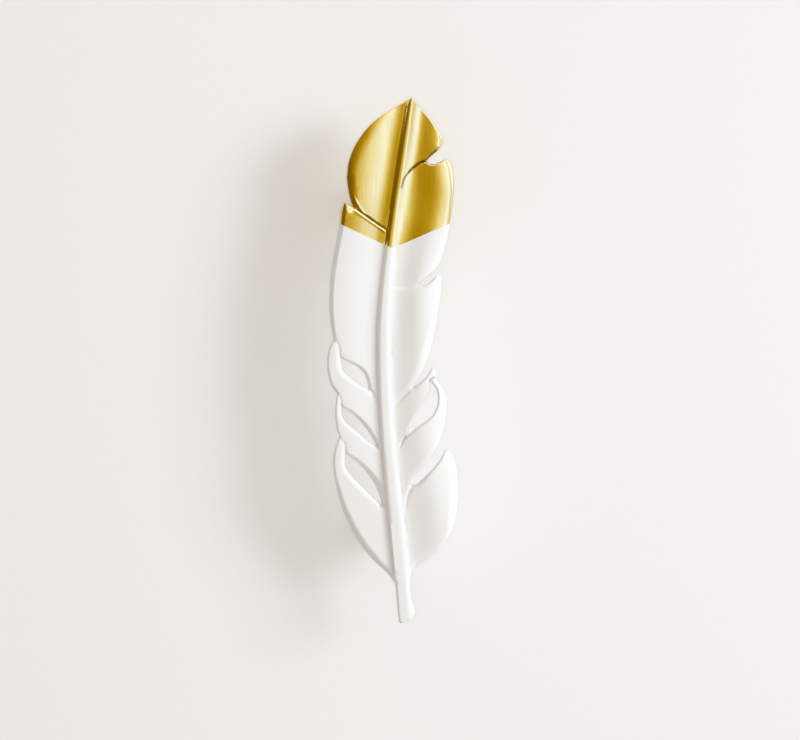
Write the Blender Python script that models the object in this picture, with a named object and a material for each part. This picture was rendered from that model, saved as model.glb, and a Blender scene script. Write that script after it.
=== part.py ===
"""Feather cabinet handle: one casting, a feather carried in front of the door by two round posts.

The handle lies with the feet of its posts at Z = 0, as it stands on a cabinet door that faces up.
The front of the feather faces +Z, its tip points along +Y and its quill along -Y.
The origin is at the middle of the box, at the level of the feet.
"""

import math

import bmesh
import bpy
import numpy as np
from mathutils.geometry import delaunay_2d_cdt

# Driving dimensions, in metres. SHAFT_TOP is the height of the shaft's flat top above the door in the
# feather's middle. The crest of the right vane stands a little higher, which makes about 27 mm in all.
LENGTH = 0.150
SHAFT_TOP = 0.0261
BODY_THICKNESS = 0.0036
SHAFT_HEIGHT = 0.00138
CREASE_DEPTH = 0.00022
ARCH = 0.0020
BACK_RADIUS = 0.0007
HOLE_SPACING = 0.096
POST_X = 0.0016
POST_DIAMETER = 0.0100
POST_CHAMFER = 0.0004
POST_NECK_DIAMETER = 0.0125
POST_NECK_HEIGHT = 0.0035
POST_SUNK = 0.0010
HOLE_DIAMETER = 0.0034
HOLE_DEPTH = 0.0120
HOLE_MOUTH_DIAMETER = 0.0044
CUT_PAST = 0.0010

# The angle of the point that a drill leaves at the end of a hole, in degrees.
DRILL_POINT = 118.0

# The plan is drawn 150 units long, from -75 to 75. Its points and the widths of its bands are in these
# units. Heights beside them are in millimetres.
DRAWN_HALF = 75.0
UNIT = LENGTH / (2.0 * DRAWN_HALF)
MM = 0.001

# How finely the plan is divided, in its units, and how far an edge may turn between two points.
EDGE_STEP = 1.5
EDGE_TURN = 0.20
FIELD_STEP = 2.3
# Rows of points across a band and beside the shaft, and how far across a band the open field starts.
BAND_ROWS = (0.35, 0.7, 1.0)
ROWS_LEFT = 1.4
ROWS_RIGHT = (0.9, 1.9)
FIELD_START = 1.15
POST_SIDES = 32
HOLE_SIDES = 20
NECK_STEPS = 4

# The outline, clockwise from the tip. The surface falls towards each edge in a band: the band's widths
# along the edge, how far it falls there, whether it falls straight (1) or in a curve (2), and the points.
OUTLINE = (
    ((0.6, 1.1, 2.0), (0.3, 0.4, 0.65), 1.8,
     ((5.6, 75.0), (7.8, 72.3), (10.7, 68.9), (13.1, 65.6), (14.3, 63.4), (14.5, 61.8))),
    ((1.2, 0.9), (0.8, 0.75), 1.4,
     ((14.5, 61.8), (13.5, 60.3), (12.0, 59.0), (10.7, 57.9), (9.7, 56.7))),
    ((0.8, 0.6), (0.5, 0.4), 1.0,
     ((9.7, 56.7), (10.5, 55.9), (12.1, 55.8), (13.8, 56.5), (15.2, 57.2), (16.3, 57.0))),
    ((1.4, 1.4, 1.6, 2.2), (0.4, 0.4, 0.4, 0.6), 1.8,
     ((16.3, 57.0), (17.1, 54.7), (17.5, 50.7), (17.3, 46.1), (16.6, 40.7), (15.5, 34.8),
      (14.0, 29.4), (12.2, 26.0), (9.8, 23.6), (6.9, 21.2))),
    ((1.5, 0.8, 0.3), (0.5, 0.4, 0.2), 1.0,
     ((6.9, 21.2), (8.8, 21.2), (10.8, 22.3), (12.2, 23.7), (13.2, 24.4))),
    ((1.4, 1.4, 2.6, 2.0), (0.45, 0.45, 1.0, 0.9), 1.8,
     ((13.2, 24.4), (13.8, 23.1), (13.7, 19.4), (12.8, 13.7), (11.8, 7.7), (10.5, 1.9),
      (8.5, -3.1), (5.8, -7.6))),
    ((0.9, 0.5, 0.4), (0.5, 0.3, 0.3), 1.0,
     ((5.8, -7.6), (7.3, -6.8), (9.0, -5.4), (10.3, -3.8), (11.1, -2.4), (11.8, -2.1))),
    ((0.5, 0.5), (0.3, 0.3), 1.0,
     ((11.8, -2.1), (12.3, -2.9), (12.5, -5.4))),
    ((1.2, 1.8, 2.0, 1.8), (0.5, 0.6, 0.6, 0.7), 1.7,
     ((12.5, -5.4), (14.4, -8.6), (15.4, -12.5), (15.0, -16.7), (13.8, -21.8),
      (11.7, -26.3), (8.7, -30.0), (6.3, -33.2), (5.5, -35.8))),
    ((1.2, 0.4, 0.3), (0.6, 0.25, 0.2), 1.0,
     ((5.5, -35.8), (7.1, -35.2), (9.3, -33.2), (11.5, -31.0), (13.5, -28.5),
      (14.7, -26.4), (15.7, -25.5))),
    ((1.6, 2.6, 2.9, 2.4, 0.9), (0.6, 1.0, 1.05, 0.85, 0.4), 1.3,
     ((15.7, -25.5), (17.1, -27.1), (18.1, -30.4), (18.6, -36.6), (18.3, -42.0),
      (17.3, -47.2), (15.4, -51.1))),
    ((1.0, 2.4, 2.0, 0.7), (0.45, 0.7, 0.7, 0.5), 1.8,
     ((15.4, -51.1), (12.5, -54.6), (9.3, -57.1), (6.6, -58.8), (5.4, -60.4), (5.0, -62.5))),
    ((0.6, 0.6), (0.45, 0.45), 1.2,
     ((5.0, -62.5), (4.9, -65.1), (5.3, -68.2), (6.1, -70.6), (6.3, -72.1), (5.6, -73.6),
      (3.7, -74.6), (2.5, -75.0), (1.9, -74.5), (1.5, -71.9), (1.2, -68.2),
      (1.0, -65.4), (0.6, -63.7))),
    ((1.0, 1.6, 1.3, 0.6, 0.45), (0.9, 1.3, 1.05, 0.5, 0.35), 1.15,
     ((0.6, -63.7), (-1.1, -61.2), (-4.7, -57.8), (-8.0, -54.1), (-10.9, -49.6),
      (-13.4, -44.5), (-15.2, -39.1), (-16.3, -34.2), (-16.9, -29.8), (-16.5, -25.7),
      (-15.1, -21.8))),
    ((0.45, 0.4), (0.35, 0.3), 1.0,
     ((-15.1, -21.8), (-15.9, -19.0), (-16.3, -15.0), (-16.1, -11.9), (-15.7, -9.6))),
    ((0.7, 0.55, 0.45), (0.6, 0.45, 0.35), 1.0,
     ((-15.7, -9.6), (-17.3, -7.3), (-18.3, -4.2), (-18.6, -0.5), (-18.1, 3.0),
      (-16.8, 5.7))),
    ((1.0, 1.25, 1.35, 1.5), (0.85, 1.05, 1.1, 1.1), 1.15,
     ((-16.8, 5.7), (-17.6, 10.6), (-18.0, 16.0), (-17.7, 22.8), (-16.7, 30.2),
      (-15.3, 37.6), (-14.8, 41.9), (-14.1, 45.1))),
    ((0.5, 0.5), (0.35, 0.35), 1.0,
     ((-14.1, 45.1), (-12.8, 44.4), (-11.5, 43.7))),
    ((2.0, 2.4, 2.8), (0.9, 1.1, 1.2), 1.5,
     ((-11.5, 43.7), (-12.6, 47.6), (-13.2, 52.1))),
    ((2.8, 3.4, 3.6, 3.0, 1.8, 0.8), (1.2, 1.25, 1.1, 0.8, 0.5, 0.3), 2.1,
     ((-13.2, 52.1), (-12.6, 56.7), (-10.7, 61.4), (-7.4, 66.1), (-3.5, 69.5), (1.0, 72.3),
      (5.6, 75.0))),
)

# The openings between barbs, each one the lower edge of one barb and then the upper edge of the next.
OPENINGS = (
    (((0.4, 0.7, 1.0, 0.9), (0.35, 0.6, 0.85, 0.8), 1.1,
      ((-14.7, 0.7), (-12.1, -0.6), (-9.5, -2.2), (-7.7, -4.6), (-6.7, -8.4))),
     ((1.3, 1.8, 1.9, 1.7), (0.75, 0.95, 0.95, 0.85), 1.5,
      ((-6.7, -8.4), (-9.7, -6.7), (-12.6, -4.6), (-14.4, -2.5), (-14.7, 0.7)))),
    (((0.5, 0.8, 1.15, 0.9), (0.4, 0.7, 1.0, 0.8), 1.1,
      ((-14.5, -13.1), (-11.5, -15.0), (-8.5, -18.1), (-6.1, -21.6), (-4.4, -24.5))),
     ((1.1, 1.4, 1.6, 1.4, 1.3), (0.65, 0.8, 0.85, 0.75, 0.7), 1.5,
      ((-4.4, -24.5), (-7.0, -23.0), (-10.4, -20.1), (-13.2, -17.8), (-14.5, -15.6),
       (-14.5, -13.1)))),
    (((0.8, 1.2, 1.8, 1.3), (0.65, 1.0, 1.4, 1.1), 1.1,
      ((-13.4, -26.5), (-10.4, -28.7), (-7.4, -31.9), (-4.8, -35.9), (-2.8, -41.4))),
     ((1.3, 1.7, 1.8, 1.7, 1.5), (0.75, 0.9, 0.95, 0.9, 0.85), 1.5,
      ((-2.8, -41.4), (-5.5, -39.2), (-8.9, -35.9), (-12.1, -32.5), (-13.6, -29.8),
       (-13.4, -26.5)))),
    (((0.5, 0.5), (1.1, 1.1), 1.0,
      ((10.6, -5.5), (10.5, -8.9), (8.3, -12.7), (5.4, -17.3), (3.6, -22.0))),
     ((0.5, 0.45, 0.5), (0.35, 0.3, 0.4), 1.0,
      ((3.6, -22.0), (7.4, -18.9), (11.1, -16.2), (12.8, -12.7), (12.7, -8.9),
       (10.6, -5.5)))),
)

# The grooves where one barb meets the next: the band on the left of the line, the band on its right, and
# the points.
GROOVES = (
    (((0.3, 0.9, 0.9), (0.2, 0.6, 0.6), 1.0), ((0.25, 0.25), (0.3, 0.3), 1.0),
     ((-11.5, 43.7), (-8.4, 41.5), (-5.0, 39.1), (-2.0, 37.2))),
    (((0.6, 0.5), (0.25, 0.3), 1.3), ((1.5, 1.6), (0.4, 0.7), 1.5),
     ((-16.8, 5.7), (-15.6, 5.3), (-14.9, 3.5), (-14.7, 0.7))),
    (((0.9, 0.5), (0.8, 0.1), 1.1), ((1.3, 0.8), (0.8, 0.1), 1.3),
     ((-6.7, -8.4), (-5.4, -10.0), (-4.6, -12.0))),
    (((0.5, 0.5), (0.25, 0.35), 1.2), ((1.1, 1.3), (0.4, 0.65), 1.5),
     ((-15.7, -9.6), (-14.5, -11.0), (-14.5, -13.1))),
    (((0.8, 0.4), (0.7, 0.2), 1.1), ((1.0, 0.6), (0.7, 0.2), 1.3),
     ((-4.4, -24.5), (-3.7, -25.8))),
    (((0.5, 0.8), (0.2, 0.5), 1.2), ((1.2, 1.5), (0.4, 0.7), 1.5),
     ((-15.1, -21.8), (-13.8, -23.0), (-13.2, -24.7), (-13.4, -26.5))),
    (((1.0, 0.5), (0.9, 0.2), 1.1), ((1.2, 0.6), (0.8, 0.2), 1.3),
     ((-2.8, -41.4), (-2.2, -43.0))),
    (((0.4, 0.9, 0.9), (0.15, 0.7, 0.8), 1.2), ((0.8, 1.3, 0.9), (0.1, 0.35, 0.5), 1.2),
     ((2.9, 50.3), (3.7, 52.2), (5.1, 53.9), (7.4, 55.8), (9.7, 56.7))),
    (((1.0, 2.5, 2.5), (0.0, 0.3, 0.5), 1.0), ((1.2, 1.5), (0.05, 0.35, 0.5), 1.0),
     ((0.4, 21.6), (2.0, 20.9), (4.4, 20.8), (6.9, 21.2))),
    (((1.2, 1.2), (0.0, 0.25, 0.35), 1.0), ((0.9, 0.9), (0.1, 0.4, 0.45), 1.0),
     ((0.3, -13.0), (3.0, -10.2), (5.8, -7.6))),
    (((0.5, 0.5), (0.9, 1.1), 1.0), ((0.5, 0.4), (0.9, 1.1), 1.0),
     ((12.5, -5.4), (11.5, -5.1), (10.6, -5.5))),
    (((0.5, 0.5), (1.0, 0.2), 1.0), ((0.5, 0.5), (1.0, 0.2), 1.0),
     ((3.6, -22.0), (2.0, -24.7))),
    (((0.9, 0.9, 1.2), (0.0, 0.25, 0.5), 1.3), ((0.6, 0.9), (0.0, 0.15, 0.35), 1.0),
     ((3.7, -43.5), (4.3, -39.1), (5.5, -35.8))),
)

# The shaft at stations along Y: foot of its left flank, left and right edge of its flat top, foot of
# its right slope.
SHAFT = (
    (76.0, 4.5, 5.6, 5.9, 7.0),
    (60.0, 1.5, 2.9, 3.4, 5.3),
    (43.0, -0.9, 0.3, 0.9, 2.9),
    (26.0, -3.1, -1.9, -0.8, 1.0),
    (9.0, -4.6, -3.3, -1.7, 0.1),
    (-8.0, -4.4, -3.2, -1.4, 0.1),
    (-26.0, -3.2, -2.2, -0.2, 1.4),
    (-43.0, -1.7, -0.8, 1.8, 3.5),
    (-60.0, 0.0, 0.8, 3.6, 5.1),
    (-76.0, 1.2, 2.0, 4.9, 6.2),
)
FOOT, TOP_LEFT, TOP_RIGHT, SLOPE_FOOT = 1, 2, 3, 4
CREASE_WIDTH = 0.35
# The left flank is steepest at its foot.
FLANK_CURVE = 1.5
# Bands that end at the shaft fade out this far left and right of its foot, and right of its flat top.
FADE_LEFT = (-0.5, 0.4)
FADE_RIGHT = 0.3
# Above the first place along Y the shaft has the tip's foot and slope, below the second the rest's.
TIP_ENDS = (48.0, 30.0)
# Shares of the shaft's height by the distance left of its foot, and right of its flat top.
FOOT_TIP = ((0.0, 0.32), (1.0, 0.21), (2.4, 0.14), (9.0, 0.14), (20.0, 0.14))
FOOT_REST = ((0.0, 0.02), (0.3, 0.005), (0.8, 0.0), (9.0, 0.0), (20.0, 0.0))
SLOPE_TIP = ((0.0, 1.0), (1.2, 0.62), (2.2, 0.40), (3.2, 0.31), (4.2, 0.30), (20.0, 0.30))
SLOPE_REST = ((0.0, 1.0), (0.7, 0.84), (1.4, 0.68), (2.1, 0.60), (2.8, 0.58), (20.0, 0.58))

# The vanes at stations along Y: how far from the shaft their valley ends, how far their crest is, and
# how many millimetres it rises, first left of the shaft's foot and then right of its flat top.
VANES = (
    (76.0, 2.4, 8.0, 0.40, 2.4, 6.6, 0.45),
    (66.0, 2.8, 9.0, 0.65, 3.0, 8.0, 0.65),
    (56.0, 2.8, 10.0, 0.80, 3.6, 10.0, 0.95),
    (44.0, 2.8, 10.0, 0.85, 3.8, 12.2, 1.10),
    (28.0, 2.2, 10.0, 0.85, 2.4, 10.2, 1.45),
    (17.0, 2.0, 10.0, 0.85, 2.0, 9.8, 1.50),
    (5.0, 1.8, 9.6, 0.80, 2.2, 9.8, 1.40),
    (-9.0, 1.5, 9.5, 0.70, 1.5, 9.4, 1.20),
    (-22.0, 1.5, 9.5, 0.55, 1.0, 9.6, 1.35),
    (-34.0, 1.5, 9.5, 0.35, 1.2, 10.4, 1.30),
    (-44.0, 1.5, 9.5, 0.20, 1.5, 11.0, 1.35),
    (-58.0, 1.5, 9.5, 0.15, 1.6, 11.0, 1.00),
    (-76.0, 1.5, 9.5, 0.15, 1.8, 11.0, 0.60),
)
LEFT_VANE, RIGHT_VANE = 1, 4
# A vane's rise is steepest near the shaft with a small skew, and in its middle with a skew of 1.
LEFT_SKEW = 0.25
RIGHT_SKEW = 1.0
# How much less than at its crest a vane bends beyond it.
PAST_CREST = 0.6


def curve_points(points, per_span=12):
    """A smooth curve through the points, as many short straight steps."""
    line = [np.array(point, dtype=float) for point in points]
    line = [2.0 * line[0] - line[1]] + line + [2.0 * line[-1] - line[-2]]
    steps = []
    for i in range(1, len(line) - 2):
        before, start, end, after = line[i - 1:i + 3]
        for k in range(per_span):
            t = k / per_span
            steps.append(0.5 * (2.0 * start + (end - before) * t
                                + (2.0 * before - 5.0 * start + 4.0 * end - after) * t ** 2
                                + (3.0 * start - before - 3.0 * end + after) * t ** 3))
    steps.append(line[-2])
    return np.array(steps)


def thin_out(line):
    """Points of a fine line that are kept: one each step, and more where it turns."""
    kept = [line[0]]
    run = 0.0
    turned = 0.0
    for i in range(1, len(line) - 1):
        a = line[i] - line[i - 1]
        b = line[i + 1] - line[i]
        run += float(np.hypot(*a))
        turned += abs(math.atan2(a[0] * b[1] - a[1] * b[0], a[0] * b[0] + a[1] * b[1]))
        if run >= EDGE_STEP or turned >= EDGE_TURN:
            kept.append(line[i])
            run = 0.0
            turned = 0.0
    if len(kept) > 1 and run < 0.35 * EDGE_STEP:
        kept.pop()
    kept.append(line[-1])
    return np.array(kept)


def table(stations, values):
    """A smooth curve through (station, value) pairs, read at any stations."""
    line = curve_points(stations)
    order = np.argsort(line[:, 0])
    return np.interp(values, line[order, 0], line[order, 1])


def column(rows, k, y):
    """One column of a list of stations along Y, read at any place."""
    return table([(row[0], row[k]) for row in rows], y)


def along_edge(values, share):
    """A value given at even places along an edge, read at any share of its length."""
    return np.interp(share, np.linspace(0.0, 1.0, len(values)), values)


def smooth(low, high, values):
    """0 below low, 1 above high, and a smooth step between them."""
    t = np.clip((values - low) / (high - low), 0.0, 1.0)
    return t * t * (3.0 - 2.0 * t)


def closest(line, points):
    """Distance of points from a line, the share of its length there, and whether they are left of it."""
    start = line[:-1]
    span = line[1:] - start
    length = np.maximum(np.hypot(span[:, 0], span[:, 1]), 1e-9)
    run = np.concatenate(([0.0], np.cumsum(length)))
    best = np.full(len(points), np.inf)
    along = np.zeros(len(points))
    left = np.zeros(len(points), dtype=bool)
    for i in range(len(span)):
        reach = points - start[i]
        t = np.clip((reach @ span[i]) / length[i] ** 2, 0.0, 1.0)
        away = np.hypot(*(reach - t[:, None] * span[i]).T)
        nearer = away < best
        best[nearer] = away[nearer]
        along[nearer] = (run[i] + t[nearer] * length[i]) / run[-1]
        left[nearer] = (span[i][0] * reach[:, 1] - span[i][1] * reach[:, 0])[nearer] > 0.0
    return best, along, left


def inside(loop, points):
    """Which points lie inside a closed loop."""
    odd = np.zeros(len(points), dtype=bool)
    x, y = points[:, 0], points[:, 1]
    for (x1, y1), (x2, y2) in zip(loop, np.roll(loop, -1, axis=0)):
        if y1 == y2:
            continue
        odd ^= ((y1 > y) != (y2 > y)) & (x < (x2 - x1) * (y - y1) / (y2 - y1) + x1)
    return odd


def vane(out, y, first, skew):
    """Height of a vane by the distance from the shaft, in millimetres."""
    valley, crest, rise = (column(VANES, k, y) for k in (first, first + 1, first + 2))
    span = crest - valley
    t = np.clip((out - valley) / span, 0.0, 1.0)
    climb = (skew + 2.0) * t ** (skew + 1.0) - (skew + 1.0) * t ** (skew + 2.0)
    bend = PAST_CREST * (skew + 1.0) * (skew + 2.0) / span ** 2
    past = np.clip(out - crest, 0.0, None)
    return rise * (climb - 0.5 * bend * past ** 2)


def bow(y):
    """How far the feather's ends hang below its middle."""
    return ARCH * (y / DRAWN_HALF) ** 2


class Plan:
    """The feather's plan: its edges as lines of points, and its surfaces' height at any place."""

    def __init__(self):
        self.edges = []
        self.outline = self.loop(OUTLINE, False)
        self.openings = [self.loop(sides, True) for sides in OPENINGS]
        for on_left, on_right, points in GROOVES:
            self.add(on_left, on_right, points, True)

    def add(self, on_left, on_right, points, ends_at_shaft):
        line = thin_out(curve_points(points))
        self.edges.append((line, on_left, on_right, ends_at_shaft))
        return line

    def loop(self, sides, ends_at_shaft):
        found = []
        for widths, falls, curve, points in sides:
            band = (widths, falls, curve)
            found.extend(self.add(band, band, points, ends_at_shaft)[:-1])
        return np.array(found)

    def material(self, points):
        """Which points lie on the feather and not in an opening."""
        within = inside(self.outline, points)
        for loop in self.openings:
            within &= ~inside(loop, points)
        return within

    def bands(self, points):
        """How far across the nearest band each point is, and how many millimetres it has fallen there."""
        across = np.full(len(points), np.inf)
        fall = np.zeros(len(points))
        x, y = points[:, 0], points[:, 1]
        foot, top_right, slope_foot = (column(SHAFT, k, y) for k in (FOOT, TOP_RIGHT, SLOPE_FOOT))
        off_shaft = 1.0 - smooth(foot + FADE_LEFT[0], foot + FADE_LEFT[1], x)
        off_shaft = off_shaft + smooth(top_right + FADE_RIGHT, slope_foot, x)
        for line, on_left, on_right, ends_at_shaft in self.edges:
            away, along, left = closest(line, points)
            width = np.where(left, along_edge(on_left[0], along), along_edge(on_right[0], along))
            depth = np.where(left, along_edge(on_left[1], along), along_edge(on_right[1], along))
            curve = np.where(left, on_left[2], on_right[2])
            share = away / width
            drop = depth * np.clip(1.0 - share, 0.0, 1.0) ** curve
            if ends_at_shaft:
                drop *= off_shaft
            across = np.minimum(across, share)
            fall = np.maximum(fall, drop)
        return across, fall

    def front(self, points):
        """Height of the front surface, in metres."""
        x, y = points[:, 0], points[:, 1]
        foot, top_left, top_right = (column(SHAFT, k, y) for k in (FOOT, TOP_LEFT, TOP_RIGHT))
        tip = smooth(TIP_ENDS[1], TIP_ENDS[0], y)
        out = foot - x
        left = SHAFT_HEIGHT * (table(FOOT_TIP, out) * tip + table(FOOT_REST, out) * (1.0 - tip))
        left = left + MM * vane(out, y, LEFT_VANE, LEFT_SKEW)
        low = FOOT_TIP[0][1] * tip + FOOT_REST[0][1] * (1.0 - tip)
        climb = 1.0 - (1.0 - np.clip((x - foot) / (top_left - foot), 0.0, 1.0)) ** FLANK_CURVE
        height = np.where(x < foot, left, SHAFT_HEIGHT * (low + (1.0 - low) * climb))
        height = height - CREASE_DEPTH * np.clip(1.0 - np.abs(x - foot) / CREASE_WIDTH, 0.0, 1.0)
        out = x - top_right
        right = SHAFT_HEIGHT * (table(SLOPE_TIP, out) * tip + table(SLOPE_REST, out) * (1.0 - tip))
        right = right + MM * vane(out, y, RIGHT_VANE, RIGHT_SKEW)
        height = np.where(x > top_right, right, height)
        return SHAFT_TOP - SHAFT_HEIGHT + height - MM * self.bands(points)[1] - bow(y)

    def back(self, points):
        """Height of the plain back, its edge rounded towards the front, in metres."""
        away = np.full(len(points), np.inf)
        for loop in [self.outline] + self.openings:
            away = np.minimum(away, closest(np.vstack((loop, loop[:1])), points)[0])
        lift = BACK_RADIUS * (1.0 - smooth(0.0, 2.0 * BACK_RADIUS, away * UNIT))
        return SHAFT_TOP - SHAFT_HEIGHT - BODY_THICKNESS + lift - bow(points[:, 1])


def band_points(plan):
    """Rows of points along every edge, on both sides of it."""
    found = []
    for line, on_left, on_right, _ in plan.edges:
        tangent = np.gradient(line, axis=0)
        tangent /= np.hypot(tangent[:, 0], tangent[:, 1])[:, None]
        normal = np.column_stack((-tangent[:, 1], tangent[:, 0]))
        share = np.linspace(0.0, 1.0, len(line))
        for side, band in ((1.0, on_left), (-1.0, on_right)):
            width = along_edge(band[0], share)
            for row in BAND_ROWS:
                places = line + side * normal * (width * row)[:, None]
                clear = plan.bands(places)[0] > row - 0.05
                found.append(places[clear & plan.material(places)])
    return np.vstack(found)


def field_points(plan):
    """Rows of points across the feather, closer together at the shaft."""
    found = []
    for y in np.arange(-DRAWN_HALF + 0.5 * FIELD_STEP, DRAWN_HALF, FIELD_STEP):
        foot, top_left, top_right, slope_foot = (float(column(SHAFT, k, y)) for k in
                                                 (FOOT, TOP_LEFT, TOP_RIGHT, SLOPE_FOOT))
        marks = [foot - CREASE_WIDTH, foot, 0.5 * (foot + top_left), top_left, top_right, slope_foot]
        marks += [top_right + away for away in ROWS_RIGHT]
        marks += list(np.arange(foot - ROWS_LEFT, plan.outline[:, 0].min(), -FIELD_STEP))
        marks += list(np.arange(slope_foot + ROWS_LEFT, plan.outline[:, 0].max(), FIELD_STEP))
        places = np.array([(x, y) for x in marks])
        clear = plan.bands(places)[0] > FIELD_START
        found.append(places[clear & plan.material(places)])
    return np.vstack(found)


def shaft_rows(plan):
    """The lines along the shaft where its surface turns."""
    rows = []
    y = np.arange(-DRAWN_HALF + 0.5 * FIELD_STEP, DRAWN_HALF, FIELD_STEP)
    for k in (FOOT, TOP_LEFT, TOP_RIGHT):
        line = np.column_stack((column(SHAFT, k, y), y))
        rows.append((line, plan.material(line) & (plan.bands(line)[0] > FIELD_START)))
    return rows


def divide(plan):
    """The plan in triangles: their points and their corners."""
    points = []
    index = {}

    def place(point):
        key = (round(float(point[0]), 3), round(float(point[1]), 3))
        if key not in index:
            index[key] = len(points)
            points.append(key)
        return index[key]

    joins = []
    for line, _, _, _ in plan.edges:
        numbers = [place(point) for point in line]
        joins += [(a, b) for a, b in zip(numbers, numbers[1:]) if a != b]
    for line, kept in shaft_rows(plan):
        numbers = [place(point) if use else None for point, use in zip(line, kept)]
        joins += [(a, b) for a, b in zip(numbers, numbers[1:]) if None not in (a, b)]
    taken = np.array(points)
    for group, gap in ((band_points(plan), 0.15 * EDGE_STEP), (field_points(plan), 0.28 * FIELD_STEP)):
        for point in group:
            if np.hypot(*(taken - point).T).min() > gap:
                place(point)
                taken = np.vstack((taken, point[None, :]))
    out = delaunay_2d_cdt(points, joins, [], 0, 1e-5)
    flat = np.array([tuple(point) for point in out[0]])
    faces = np.array(out[2])
    faces = faces[plan.material(flat[faces].mean(axis=1))]
    used = np.unique(faces)
    number = np.zeros(len(flat), dtype=int)
    number[used] = np.arange(len(used))
    return flat[used], number[faces]


def feather_mesh(plan):
    """The feather as one closed body: the front's sheet, extruded to the back."""
    flat, faces = divide(plan)
    bm = bmesh.new()
    front = [bm.verts.new((x * UNIT, y * UNIT, z)) for (x, y), z in zip(flat, plan.front(flat))]
    for corners in faces:
        bm.faces.new([front[i] for i in corners])
    made = bmesh.ops.extrude_face_region(bm, geom=bm.faces[:], use_keep_orig=True)
    back = [item for item in made["geom"] if isinstance(item, bmesh.types.BMVert)]
    places = np.array([(vert.co.x, vert.co.y) for vert in back]) / UNIT
    for vert, z in zip(back, plan.back(places)):
        vert.co.z = z
    bmesh.ops.triangulate(bm, faces=[face for face in bm.faces if len(face.verts) > 3])
    bmesh.ops.recalc_face_normals(bm, faces=bm.faces[:])
    mesh = bpy.data.meshes.new("feather_handle")
    bm.to_mesh(mesh)
    bm.free()
    return mesh


def turned(name, profile, sides, place):
    """A round solid: a profile of (radius, height) pairs, spun about an upright axis."""
    bm = bmesh.new()
    points = [bm.verts.new((radius, 0.0, height)) for radius, height in profile]
    for a, b in zip(points, points[1:]):
        bm.edges.new((a, b))
    bmesh.ops.spin(bm, geom=bm.verts[:] + bm.edges[:], cent=(0.0, 0.0, 0.0), axis=(0.0, 0.0, 1.0),
                   angle=2.0 * math.pi, steps=sides, use_merge=True)
    bmesh.ops.remove_doubles(bm, verts=bm.verts[:], dist=1e-6)
    bmesh.ops.recalc_face_normals(bm, faces=bm.faces[:])
    mesh = bpy.data.meshes.new(name)
    bm.to_mesh(mesh)
    bm.free()
    body = bpy.data.objects.new(name, mesh)
    body.location = (place[0], place[1], 0.0)
    bpy.context.collection.objects.link(body)
    return body


def post_profile(reach):
    """From the foot on the door, up to the flared neck and into the feather's back."""
    foot_radius = 0.5 * POST_DIAMETER
    neck_radius = 0.5 * POST_NECK_DIAMETER
    neck_start = reach - POST_NECK_HEIGHT
    profile = [(0.0, 0.0), (foot_radius - POST_CHAMFER, 0.0), (foot_radius, POST_CHAMFER),
               (foot_radius, neck_start)]
    for k in range(1, NECK_STEPS + 1):
        share = k / NECK_STEPS
        flare = 1.0 - math.sqrt(1.0 - share ** 2)
        radius = foot_radius + (neck_radius - foot_radius) * flare
        profile.append((radius, neck_start + share * POST_NECK_HEIGHT))
    return profile + [(neck_radius, reach + POST_SUNK), (0.0, reach + POST_SUNK)]


def hole_profile():
    """From below the foot, through a countersunk mouth, to the cone that a drill leaves."""
    radius = 0.5 * HOLE_DIAMETER
    mouth = 0.5 * HOLE_MOUTH_DIAMETER
    point = radius / math.tan(math.radians(0.5 * DRILL_POINT))
    return [(0.0, -CUT_PAST), (mouth, -CUT_PAST), (mouth, 0.0), (radius, mouth - radius),
            (radius, HOLE_DEPTH), (0.0, HOLE_DEPTH + point)]


def boolean(body, tool, operation):
    """Join a guide body to the casting, or cut it out."""
    tool.hide_render = True
    tool.display_type = "WIRE"
    change = body.modifiers.new(f"{operation.lower()}_{tool.name}", "BOOLEAN")
    change.object = tool
    change.operation = operation
    change.solver = "EXACT"


def make_material(name, colour, roughness, metallic):
    material = bpy.data.materials.new(name)
    material.use_nodes = True
    shader = material.node_tree.nodes["Principled BSDF"]
    shader.inputs["Base Color"].default_value = (*colour, 1.0)
    shader.inputs["Roughness"].default_value = roughness
    shader.inputs["Metallic"].default_value = metallic
    return material


def main():
    for item in list(bpy.context.scene.objects):
        bpy.data.objects.remove(item, do_unlink=True)

    plan = Plan()
    handle = bpy.data.objects.new("feather_handle", feather_mesh(plan))
    bpy.context.collection.objects.link(handle)
    handle.data.materials.append(make_material("white_enamel", (0.87, 0.86, 0.84), 0.30, 0.0))

    for side, y in (("upper", 0.5 * HOLE_SPACING), ("lower", -0.5 * HOLE_SPACING)):
        reach = float(plan.back(np.array([[POST_X, y]]) / UNIT)[0])
        boolean(handle, turned(f"post_{side}", post_profile(reach), POST_SIDES, (POST_X, y)), "UNION")
        boolean(handle, turned(f"hole_{side}", hole_profile(), HOLE_SIDES, (POST_X, y)), "DIFFERENCE")

    handle.data.shade_smooth()
    handle.data.set_sharp_from_angle(angle=math.radians(35.0))


main()
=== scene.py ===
# %% [markdown]
# # A feather cabinet handle, dressed
# The real handle is one zinc casting: a feather carried in front of a door by two round posts. It is
# painted white, and its tip is left in brushed gold. The imported model is loaded first, because everything
# here has to stay inside it.

# %% Load the imported model
import math

import bpy
import numpy as np
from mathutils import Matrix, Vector
from mathutils.geometry import delaunay_2d_cdt


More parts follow.
